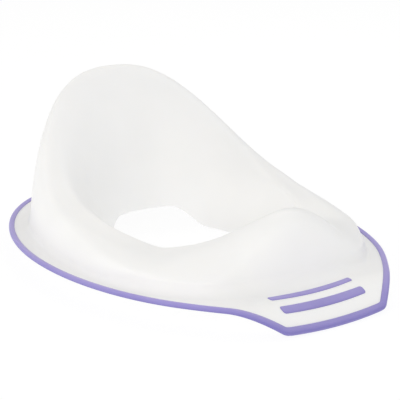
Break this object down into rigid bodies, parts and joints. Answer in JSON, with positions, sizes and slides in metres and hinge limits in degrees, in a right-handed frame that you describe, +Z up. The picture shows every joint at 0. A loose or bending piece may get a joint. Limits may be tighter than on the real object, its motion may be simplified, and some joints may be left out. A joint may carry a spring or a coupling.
{
  "type": "potty training seat",
  "caption": "Toddler seat insert for an adult toilet: white moulded shell with high backrest, thigh rolls, splash guard, curled front tab and a soft grip rim.",
  "frame": {"origin": "centre of the footprint, at the height of the front tab's lowest edge", "axes": "+Z up, +Y towards the backrest, -Y towards the front tab, +X to the right seen from the front"},
  "size_m": [0.296, 0.4138, 0.1533],
  "materials": {
    "shell_white": "satin moulded polypropylene with a soft sheen",
    "soft_lavender": "matt soft elastomer moulded onto the shell"
  },
  "bodies": {
    "root": {"seat_shell": "shell_white", "soft_rim": "soft_lavender", "thin_grip_strip": "soft_lavender", "wide_grip_strip": "soft_lavender"}
  },
  "joints": []
}
